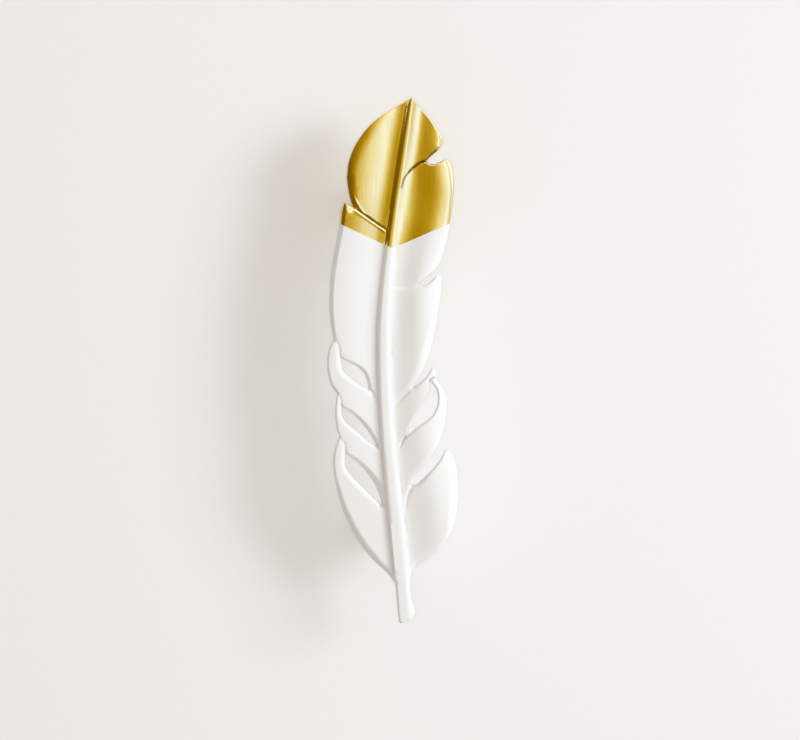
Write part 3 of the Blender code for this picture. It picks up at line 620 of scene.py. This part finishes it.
flat, triangles = sheet(drawing)
print("plan:", len(flat), "points,", len(triangles), "triangles")


# %% [markdown]
# ## From the plan to a casting
# The plan becomes a sheet at the height of the front. Extruding it makes the wall and the back in one
# step, and the new points are then set to the height of the back.

# %% The feather
def select_only(piece):
    bpy.ops.object.select_all(action="DESELECT")
    piece.select_set(True)
    bpy.context.view_layer.objects.active = piece


def feather_body():
    """The sheet at the front's height, extruded to a closed body."""
    height = drawing.front(flat)
    mesh = bpy.data.meshes.new("feather")
    places = [(x * MM, y * MM, z) for (x, y), z in zip(flat, height)]
    mesh.from_pydata(places, [], [tuple(int(i) for i in face) for face in triangles])
    piece = bpy.data.objects.new("feather", mesh)
    bpy.context.collection.objects.link(piece)
    select_only(piece)
    bpy.ops.object.mode_set(mode="EDIT")
    bpy.ops.mesh.select_all(action="SELECT")
    bpy.ops.mesh.extrude_region_move(TRANSFORM_OT_translate={"value": (0.0, 0.0, -BODY_THICKNESS)})
    bpy.ops.object.mode_set(mode="OBJECT")
    return piece


feather = feather_body()
count = len(feather.data.vertices)
places = np.empty(count * 3, np.float32)
feather.data.vertices.foreach_get("co", places)
places = places.reshape(-1, 3).astype(float)
moved = np.array([vertex.select for vertex in feather.data.vertices])
print("extruded:", count, "vertices,", int(moved.sum()), "at the back")
places[moved, 2] = drawing.back(places[moved, :2] / MM)
feather.data.vertices.foreach_set("co", places.astype(np.float32).ravel())
feather.data.update()
select_only(feather)
bpy.ops.object.mode_set(mode="EDIT")
bpy.ops.mesh.select_all(action="SELECT")
bpy.ops.mesh.normals_make_consistent(inside=False)
bpy.ops.object.mode_set(mode="OBJECT")

# %% [markdown]
# ## The posts
# A post is a turned shape: a countersunk hole for the screw, the foot that stands on the door, a round
# stem, and a neck that flares into the feather's back. One ring of edges is enough for all of it. It starts
# as the bottom of the hole, and each extrusion takes it to the next height and radius of the profile.

# %% Turn a profile
POST_X = 0.0016
HOLE_SPACING = 0.096
POST_RADIUS = 0.0050
POST_CHAMFER = 0.0004
NECK_RADIUS = 0.00625
NECK_HEIGHT = 0.0035
HOLE_RADIUS = 0.0017
HOLE_MOUTH = 0.0022
HOLE_DEPTH = 0.0120
HOLE_POINT = 0.0010
SUNK = 0.0010
RING = 64
NECK_STEPS = 10
NO_HEIGHT = 1e-6
SMOOTH_ANGLE = math.radians(50.0)


def post_profile(reach):
    """Radius and height of each ring, from the point of the hole round the foot and up to the feather."""
    profile = [(HOLE_RADIUS, HOLE_DEPTH), (HOLE_RADIUS, HOLE_MOUTH - HOLE_RADIUS), (HOLE_MOUTH, 0.0),
               (POST_RADIUS - POST_CHAMFER, 0.0), (POST_RADIUS, POST_CHAMFER),
               (POST_RADIUS, reach - NECK_HEIGHT)]
    for k in range(1, NECK_STEPS + 1):
        share = k / NECK_STEPS
        flare = 1.0 - math.sqrt(1.0 - share ** 2)
        profile.append((POST_RADIUS + (NECK_RADIUS - POST_RADIUS) * flare,
                        reach - NECK_HEIGHT * (1.0 - share)))
    return profile + [(NECK_RADIUS, reach + SUNK)]


def turned_post(name, x, y, profile):
    """A ring of edges carried along the profile, with a pole at its start and a flat end."""
    radius, height = profile[0]
    bpy.ops.object.select_all(action="DESELECT")
    bpy.ops.mesh.primitive_cone_add(vertices=RING, radius1=radius, radius2=0.0, depth=HOLE_POINT,
                                    end_fill_type="NOTHING", location=(x, y, height + 0.5 * HOLE_POINT))
    post = bpy.context.active_object
    post.name = name
    bpy.ops.object.transform_apply(location=True, rotation=True, scale=True)
    low = min(vertex.co.z for vertex in post.data.vertices)
    for vertex in post.data.vertices:
        vertex.select = vertex.co.z < low + NO_HEIGHT
    for edge in post.data.edges:
        edge.select = all(post.data.vertices[k].select for k in edge.vertices)
    for face in post.data.polygons:
        face.select = False
    bpy.ops.object.mode_set(mode="EDIT")
    bpy.ops.mesh.select_mode(type="EDGE")
    for (r0, z0), (r1, z1) in zip(profile, profile[1:]):
        bpy.ops.mesh.extrude_region_move(TRANSFORM_OT_translate={"value": (0.0, 0.0, z1 - z0)})
        if r1 != r0:
            bpy.ops.transform.resize(value=(r1 / r0, r1 / r0, 1.0), center_override=(x, y, z1))
    bpy.ops.mesh.edge_face_add()
    bpy.ops.mesh.select_all(action="SELECT")
    bpy.ops.mesh.normals_make_consistent(inside=False)
    bpy.ops.object.mode_set(mode="OBJECT")
    return post


# %% Join the posts to the feather
for name, y in (("upper", 0.5 * HOLE_SPACING), ("lower", -0.5 * HOLE_SPACING)):
    reach = float(drawing.back(np.array([[POST_X / MM, y / MM]]))[0])
    post = turned_post(f"post_{name}", POST_X, y, post_profile(reach))
    select_only(feather)
    union = feather.modifiers.new(f"join_{name}", "BOOLEAN")
    union.object = post
    union.operation = "UNION"
    union.solver = "EXACT"
    bpy.ops.object.modifier_apply(modifier=union.name)
    bpy.data.objects.remove(post, do_unlink=True)
    print(f"post_{name}: {1000.0 * reach:.1f} mm long, the casting has {len(feather.data.polygons)} faces")
bpy.ops.object.shade_smooth_by_angle(angle=SMOOTH_ANGLE)

# %% [markdown]
# ## Finishes as formulas
# A finish is a formula over the surface. The class below lets a formula be written like any other in
# Python, and adds the nodes behind it.

# %% Formulas that become nodes
class Signal:
    """One output of a node. Sums and products of signals add Math nodes."""

    def __init__(self, shader, socket):
        self.shader = shader
        self.socket = socket

    def join(self, operation, first, second):
        return self.shader.node("ShaderNodeMath", {"operation": operation}, {0: first, 1: second})

    def __add__(self, other):
        return self.join("ADD", self, other)

    def __radd__(self, other):
        return self.join("ADD", other, self)

    def __sub__(self, other):
        return self.join("SUBTRACT", self, other)

    def __rsub__(self, other):
        return self.join("SUBTRACT", other, self)

    def __mul__(self, other):
        return self.join("MULTIPLY", self, other)

    def __rmul__(self, other):
        return self.join("MULTIPLY", other, self)


class Shader:
    """The nodes of one material or of the world."""

    def __init__(self, tree):
        self.tree = tree

    def node(self, kind, settings=None, sockets=None, output=0):
        """Adds a node: its settings first, then its sockets, and gives one of its outputs."""
        made = self.tree.nodes.new(kind)
        for name, value in (settings or {}).items():
            setattr(made, name, value)
        for name, value in (sockets or {}).items():
            self.feed(made.inputs[name], value)
        return Signal(self, made.outputs[output])

    def feed(self, socket, value):
        """Links a signal to a socket, or sets the socket to a plain value."""
        if isinstance(value, Signal):
            self.tree.links.new(value.socket, socket)
        elif isinstance(value, tuple) and socket.type == "RGBA":
            socket.default_value = (*value, 1.0)
        else:
            socket.default_value = value

    def blend(self, share, first, second):
        """A colour between two colours."""
        return self.node("ShaderNodeMix", {"data_type": "RGBA"}, {0: share, 6: first, 7: second}, 2)

    def ramp(self, value, stops):
        """Colours along a value, smooth between the stops."""
        signal = self.node("ShaderNodeValToRGB", {}, {"Fac": value})
        made = signal.socket.node
        made.color_ramp.interpolation = "EASE"
        while len(made.color_ramp.elements) < len(stops):
            made.color_ramp.elements.new(0.5)
        for element, (spot, colour) in zip(made.color_ramp.elements, stops):
            element.position = spot
            element.color = (*colour, 1.0)
        return signal

    def between(self, value, low, high):
        """A smooth step from 0 at low to 1 at high."""
        return self.node("ShaderNodeMapRange", {"interpolation_type": "SMOOTHSTEP"},
                         {"Value": value, "From Min": low, "From Max": high})

    def noise(self, place, scale, detail=3.0, roughness=0.5):
        return self.node("ShaderNodeTexNoise", {}, {"Vector": place, "Scale": scale, "Detail": detail,
                                                    "Roughness": roughness})

    def stretched(self, place, scale):
        """Places with each axis scaled on its own."""
        return self.node("ShaderNodeMapping", {}, {"Vector": place, "Scale": scale})


def new_finish(name):
    """A new material, its formulas and the sockets of its surface."""
    material = bpy.data.materials.new(name)
    material.use_nodes = True
    shader = Shader(material.node_tree)
    surface = material.node_tree.nodes["Principled BSDF"].inputs
    place = shader.node("ShaderNodeTexCoord", output="Object")
    return material, shader, surface, place


# %% [markdown]
# ## White enamel
# The paint is sprayed and baked: nearly even, a little warm, half glossy, and with the faint ripple that
# such paint has. Two noises give the change of tone and the ripple.

# %% White enamel
ENAMEL_DARK = (0.825, 0.815, 0.79)
ENAMEL_LIGHT = (0.86, 0.85, 0.83)
ENAMEL_CLOUDS = 60.0
ENAMEL_RIPPLES = 900.0
RIPPLE_HEIGHT = 0.000012
ENAMEL_ROUGHNESS = 0.30
ENAMEL_UNEVEN = 0.08
white, shader, surface, place = new_finish("white_enamel")
cloud = shader.noise(place, ENAMEL_CLOUDS, 2.0)
peel = shader.noise(place, ENAMEL_RIPPLES, 3.0)
shader.feed(surface["Base Color"], shader.blend(cloud, ENAMEL_DARK, ENAMEL_LIGHT))
shader.feed(surface["Roughness"], ENAMEL_ROUGHNESS + ENAMEL_UNEVEN * peel)
bump = shader.node("ShaderNodeBump", {}, {"Height": peel, "Distance": RIPPLE_HEIGHT, "Strength": 1.0})
shader.feed(surface["Normal"], bump)

# %% [markdown]
# ## Brushed gold
# The brush runs along the feather, so the streaks are noise that is stretched along Y. In the groove
# between the two top barbs and in the pit at its end, where shade falls, brown is painted into the gold as
# painted shade, with no lacquer over it. How strong that painted shade is, is measured from those lines and
# kept with each vertex.

# %% Where shade is painted brown into the gold
# Each line with how far from it the painted shade reaches, in the drawing's millimetres.
GROOVE_SHADE_LINES = (
    (0.45, ((2.6, 49.2), (3.4, 51.7), (4.8, 53.7), (7.2, 55.7), (9.6, 57.0), (11.0, 58.4), (12.6, 59.7))),
    (0.50, ((9.9, 56.6), (10.6, 56.2))),
)
count = len(feather.data.vertices)
places = np.empty(count * 3, np.float32)
feather.data.vertices.foreach_get("co", places)
plan_places = places.reshape(-1, 3)[:, :2].astype(float) / MM
shade_shares = np.zeros(count)
# Painted shade: the nearer a vertex is to the groove or the pit, the more brown is painted there.
for reach, points in GROOVE_SHADE_LINES:
    away = closest(curve_points(points), plan_places)[0]
    shade_shares = np.maximum(shade_shares, np.clip(1.0 - away / reach, 0.0, 1.0))
painted_groove_shade = feather.data.attributes.new("painted_groove_shade", "FLOAT", "POINT")
painted_groove_shade.data.foreach_set("value", shade_shares.astype(np.float32))
print("vertices with tarnish:", int((shade_shares > 0.0).sum()))

# %% The gold
GOLD_DARK = (0.72, 0.50, 0.09)
GOLD_LIGHT = (0.87, 0.65, 0.17)
# The brown of the painted shade in the groove and pit, and how much of it there is at most.
SHADE_BROWN = (0.10, 0.045, 0.008)
SHADE_BROWN_MOST = 0.85
# Repeats in a metre across, along and through the brush's streaks, and those of the broader clouds.
STREAKS = (4200.0, 90.0, 4200.0)
CLOUDS = (300.0, 40.0, 300.0)
STREAK_SHARE = 0.6
STREAK_HEIGHT = 0.000006
GOLD_ROUGHNESS = 0.13
GOLD_UNEVEN = 0.08
# A clear lacquer over the gold mirrors the studio without the gold's colour, so highlights turn cream.
LACQUER_IOR = 2.2
LACQUER_ROUGHNESS = 0.15
gold, shader, surface, place = new_finish("brushed_gold")
streaks = shader.noise(shader.stretched(place, STREAKS), 1.0, 4.0, 0.6)
cloud = shader.noise(shader.stretched(place, CLOUDS), 1.0, 2.0)
tone = shader.between(STREAK_SHARE * streaks + (1.0 - STREAK_SHARE) * cloud, 0.25, 0.75)
# The painted shade, read from the vertices.
painted_shade = shader.node("ShaderNodeAttribute", {"attribute_name": "painted_groove_shade"}, {}, "Fac")
polished = shader.blend(tone, GOLD_DARK, GOLD_LIGHT)
shader.feed(surface["Base Color"], shader.blend(SHADE_BROWN_MOST * painted_shade, polished, SHADE_BROWN))
surface["Metallic"].default_value = 1.0
shader.feed(surface["Roughness"], GOLD_ROUGHNESS + GOLD_UNEVEN * streaks)
# No lacquer where shade is painted, so the painted shade stays dark.
shader.feed(surface["Coat Weight"], 1.0 - painted_shade)
surface["Coat IOR"].default_value = LACQUER_IOR
surface["Coat Roughness"].default_value = LACQUER_ROUGHNESS
bump = shader.node("ShaderNodeBump", {}, {"Height": streaks, "Distance": STREAK_HEIGHT, "Strength": 1.0})
shader.feed(surface["Normal"], bump)
print("nodes of the gold:", len(gold.node_tree.nodes), "and of the enamel:", len(white.node_tree.nodes))

# %% [markdown]
# ## The paint line
# The casting is one piece, and so is its model. Its faces above the line take the gold, the upper post's
# too, and the others take the enamel.

# %% Paint the casting
feather.data.materials.append(white)
feather.data.materials.append(gold)
for face in feather.data.polygons:
    x, y = face.center.x / MM, face.center.y / MM
    line = PAINT_APEX[1] + max(PAINT_LEFT * x, PAINT_RIGHT * x)
    face.material_index = 1 if y > line else 0
golden = sum(face.material_index for face in feather.data.polygons)
print("gold faces:", golden, "of", len(feather.data.polygons))

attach(feather, "root")
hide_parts("feather_handle")

# %% [markdown]
# ## The wall behind it
# The photograph's pale wall is the floor here, because the handle lies on its posts. A little of its own
# glow, seen by the camera only, makes it as pale as the photograph without more light on the handle.

# %% The floor
FLOOR_SIZE = 6.0
FLOOR_DARK = (0.865, 0.878, 0.89)
FLOOR_LIGHT = (0.885, 0.898, 0.91)
FLOOR_GRAIN = 700.0
FLOOR_ROUGHNESS = 0.9
GLOW = 0.3
GLOW_COLOUR = (0.90, 0.80, 0.70)
bpy.ops.mesh.primitive_plane_add(size=FLOOR_SIZE, location=(0.0, 0.0, 0.0))
floor = bpy.context.active_object
floor.name = "floor"
paper, shader, surface, place = new_finish("pale_floor")
grain = shader.noise(place, FLOOR_GRAIN, 4.0)
shader.feed(surface["Base Color"], shader.blend(grain, FLOOR_DARK, FLOOR_LIGHT))
surface["Roughness"].default_value = FLOOR_ROUGHNESS
glow = shader.node("ShaderNodeEmission", {}, {"Color": GLOW_COLOUR, "Strength": 1.0})
watched = shader.node("ShaderNodeLightPath", output="Is Camera Ray")
plain = paper.node_tree.nodes["Principled BSDF"].outputs[0]
mixed = shader.node("ShaderNodeMixShader", {}, {0: GLOW * watched, 1: Signal(shader, plain), 2: glow})
shader.feed(paper.node_tree.nodes["Material Output"].inputs["Surface"], mixed)
floor.data.materials.append(paper)
print("floor:", FLOOR_SIZE, "m wide")

# %% [markdown]
# ## Camera
# The photograph looks straight at the feather. Its scale, in pixels for each millimetre, and the place of
# the feather's middle give the camera's lens and position.

# %% Camera
PICTURE_PX = (800.0, 740.0)
PX_PER_MM = 3.5153
CENTRE_PX = (392.45, 360.2)
# The camera's distance from the height at which the picture has this scale.
DISTANCE = 0.75
SCALE_HEIGHT = 0.0245
SENSOR = 36.0
camera = bpy.data.cameras.new("camera")
camera.sensor_width = SENSOR
camera.lens = camera.sensor_width * DISTANCE / (PICTURE_PX[0] / PX_PER_MM * MM)
viewer = bpy.data.objects.new("camera", camera)
viewer.location = ((0.5 * PICTURE_PX[0] - CENTRE_PX[0]) / PX_PER_MM * MM,
                   (CENTRE_PX[1] - 0.5 * PICTURE_PX[1]) / PX_PER_MM * MM, SCALE_HEIGHT + DISTANCE)
bpy.context.collection.objects.link(viewer)
bpy.context.scene.camera = viewer
print(f"camera: {camera.lens:.1f} mm lens at {viewer.location.z:.3f} m above the floor")


# %% [markdown]
# ## Lights
# A large soft lamp stands far to the right: its angle is read from the shadow that the feather throws to
# the left. A weak lamp at the camera fills that shadow a little. Neither is seen in the gold.

# %% Lamps
def lamp(name, place, aim, size, power, colour=(1.0, 1.0, 1.0)):
    light = bpy.data.lights.new(name, "AREA")
    light.shape = "DISK"
    light.size = size
    light.energy = power
    light.color = colour
    holder = bpy.data.objects.new(name, light)
    holder.location = place
    holder.visible_glossy = False
    holder.rotation_euler = (Vector(aim) - Vector(place)).to_track_quat("-Z", "Y").to_euler()
    bpy.context.collection.objects.link(holder)


KEY_DISTANCE = 1.6
KEY_ANGLE = math.radians(54.0)
KEY_TURN = math.radians(12.0)
KEY_SIZE = 0.62
KEY_POWER = 15.9
KEY_COLOUR = (0.87, 0.95, 1.0)
KEY_AIM = (0.0, 0.0, 0.02)
FRONT_SIZE = 0.07
FRONT_POWER = 0.95
key_place = Vector((math.sin(KEY_ANGLE) * math.cos(KEY_TURN), math.sin(KEY_ANGLE) * math.sin(KEY_TURN),
                    math.cos(KEY_ANGLE))) * KEY_DISTANCE
lamp("key", key_place, KEY_AIM, KEY_SIZE, KEY_POWER, KEY_COLOUR)
lamp("front", viewer.location, (viewer.location.x, viewer.location.y, 0.0), FRONT_SIZE, FRONT_POWER)
print("key lamp at", [round(part, 2) for part in key_place], "m")

# %% [markdown]
# ## The sky
# The rest of the studio is a pale sky, a little warmer on the left. Polished gold shows little but what it
# mirrors, so it has a sky of its own, read from the gold in the photograph: brown on the left and cream on
# the right, above all towards the tip's side, with one duller strip far to the right.

# %% The sky
# The places and colours of both ramps, from left to right.
SOFT_SKY = ((0.2, (0.60, 0.53, 0.46)), (0.5, (0.84, 0.80, 0.76)), (0.66, (0.90, 0.875, 0.85)))
GOLD_SKY = ((0.05, (0.21, 0.13, 0.003)), (0.26, (0.38, 0.24, 0.002)), (0.38, (0.51, 0.36, 0.004)),
            (0.50, (0.74, 0.63, 0.14)), (0.60, (1.00, 1.04, 0.95)), (0.70, (1.16, 1.46, 2.60)),
            (0.80, (1.18, 1.50, 2.70)), (0.91, (0.78, 0.64, 0.18)), (1.00, (1.18, 1.50, 2.70)))
# Where on its ramp the gold's sky is straight ahead, and how the north shifts it.
GOLD_AHEAD = 0.455
GOLD_NORTH = 0.9
GOLD_CORNER = 0.35
# How much of the sky's light falls on the surfaces, and how much stronger it is in the north.
AMBIENT = 0.68
NORTH_LIGHT = 0.2
world = bpy.data.worlds.new("studio")
world.use_nodes = True
sky = Shader(world.node_tree)
ways = sky.node("ShaderNodeTexCoord", output="Generated")
east = sky.node("ShaderNodeSeparateXYZ", {}, {0: ways}, "X")
north = sky.node("ShaderNodeSeparateXYZ", {}, {0: ways}, "Y")
glossy = sky.node("ShaderNodeLightPath", output="Is Glossy Ray")
soft = sky.ramp(0.5 + 0.5 * east, SOFT_SKY)
toward = GOLD_AHEAD + 0.5 * (east + GOLD_NORTH * north) + GOLD_CORNER * east * north
seen = sky.ramp(toward, GOLD_SKY)
strength = (1.0 + NORTH_LIGHT * north) * (glossy + AMBIENT * (1.0 - glossy))
sky.feed(world.node_tree.nodes["Background"].inputs["Color"], sky.blend(glossy, soft, seen))
sky.feed(world.node_tree.nodes["Background"].inputs["Strength"], strength)
bpy.context.scene.world = world
bpy.context.scene.view_settings.view_transform = "Standard"
print("nodes of the sky:", len(world.node_tree.nodes))
